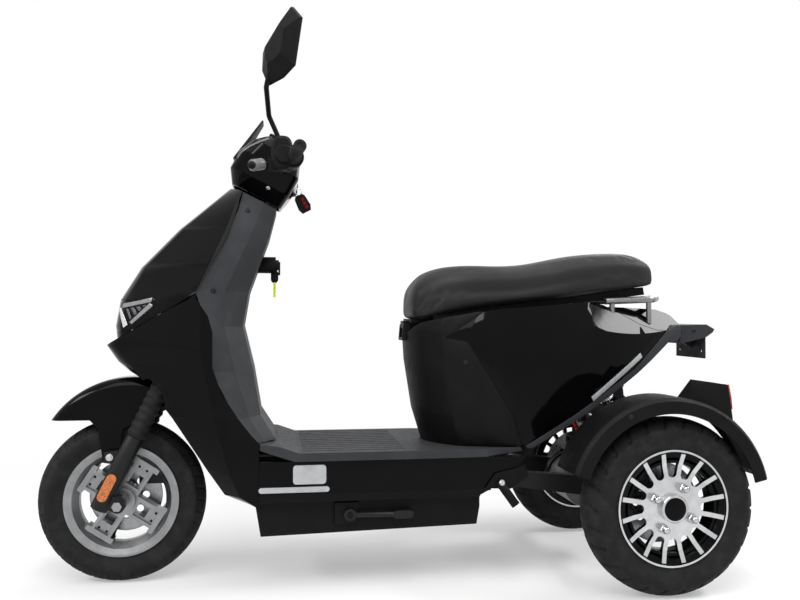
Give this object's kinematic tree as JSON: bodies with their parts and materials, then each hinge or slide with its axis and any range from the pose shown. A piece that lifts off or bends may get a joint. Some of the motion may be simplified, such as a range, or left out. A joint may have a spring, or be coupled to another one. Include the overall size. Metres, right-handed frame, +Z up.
{
  "type": "electric trike",
  "caption": "Step-through electric scooter with a single steered front wheel, twin driven rear wheels under arc fenders, leg shield, flat footboard and hinged saddle.",
  "frame": {"origin": "on the ground under the middle of the bounding box", "axes": "+X forward, +Y to the rider's left, +Z up"},
  "size_m": [1.799, 0.744, 1.3751],
  "materials": {
    "gloss_black": "gloss",
    "matte_black": "matte",
    "dark_grey": "matte",
    "seat_vinyl": "satin",
    "frame_paint": "satin",
    "tyre": "matte",
    "rubber": "matte",
    "silver_alloy": "satin",
    "machined_alloy": "machined",
    "motor_alloy": "cast",
    "steel": "brushed",
    "chrome": "polished",
    "satin_silver": "satin",
    "silver_strip": "satin",
    "clear_lens": "clear",
    "red_lens": "clear",
    "amber": "clear",
    "mirror": "polished"
  },
  "bodies": {
    "chassis": {"frame": "frame_paint", "front_cowl": "gloss_black", "nose_panel": "gloss_black", "headlamp": "clear_lens", "inner_shield": "dark_grey", "ignition_lock": "matte_black", "wheel_apron": "matte_black", "floor_skirts": "gloss_black", "footboard": "dark_grey", "side_strips": "silver_strip", "battery_box": "matte_black", "seat_box": "matte_black", "side_panels": "gloss_black", "tail_panel": "gloss_black", "tail_trim": "dark_grey", "storage_tub": "matte_black", "grab_rail": "satin_silver", "tail_fin": "dark_grey", "rear_lenses": "red_lens", "rear_fenders": "matte_black", "lamp_housings": "matte_black", "rear_axle": "frame_paint", "drive_motor": "motor_alloy", "rear_shocks": "frame_paint", "shock_springs": "chrome", "foot_pegs": "matte_black"},
    "seat": {"seat_cushion": "seat_vinyl", "seat_base": "matte_black"},
    "stand": {"side_stand": "frame_paint"},
    "steering": {"fork_legs": "frame_paint", "fork_gaiters": "rubber", "fork_crown": "frame_paint", "front_fender": "gloss_black", "fork_reflectors": "amber", "front_caliper": "frame_paint", "front_axle": "steel", "handlebar": "frame_paint", "bar_cowl": "gloss_black", "visor": "matte_black", "instrument": "gloss_black", "grips": "rubber", "controls": "matte_black", "mirror": "matte_black", "mirror_glass": "mirror"},
    "front_wheel": {"front_tyre": "tyre", "front_rim": "silver_alloy", "front_disc": "steel"},
    "rear_wheel_left": {"rear_tyre_left": "tyre", "rear_rim_left": "machined_alloy", "rear_disc_left": "steel"},
    "rear_wheel_right": {"rear_tyre_right": "tyre", "rear_rim_right": "machined_alloy", "rear_disc_right": "steel"}
  },
  "joints": [
    {"name": "steering_turn", "type": "hinge", "parent": "chassis", "child": "steering", "pos_m": [0.7965, 0, 0], "axis": [-0.4384, 0, 0.8988], "range_deg": [-40, 40]},
    {"name": "front_wheel_spin", "type": "hinge", "parent": "steering", "child": "front_wheel", "pos_m": [0.6925, 0, 0.207], "axis": [0, 1, 0], "continuous": true},
    {"name": "rear_wheel_left_spin", "type": "hinge", "parent": "chassis", "child": "rear_wheel_left", "pos_m": [-0.6375, 0.308, 0.217], "axis": [0, 1, 0], "continuous": true},
    {"name": "rear_wheel_right_spin", "type": "hinge", "parent": "chassis", "child": "rear_wheel_right", "pos_m": [-0.6375, -0.308, 0.217], "axis": [0, 1, 0], "continuous": true},
    {"name": "seat_lift", "type": "hinge", "parent": "chassis", "child": "seat", "pos_m": [-0.0375, 0, 0.65], "axis": [0, 1, 0], "range_deg": [0, 70]},
    {"name": "stand_swing", "type": "hinge", "parent": "chassis", "child": "stand", "pos_m": [0.1255, 0.168, 0.186], "axis": [0, -1, 0], "range_deg": [0, 95]}
  ]
}
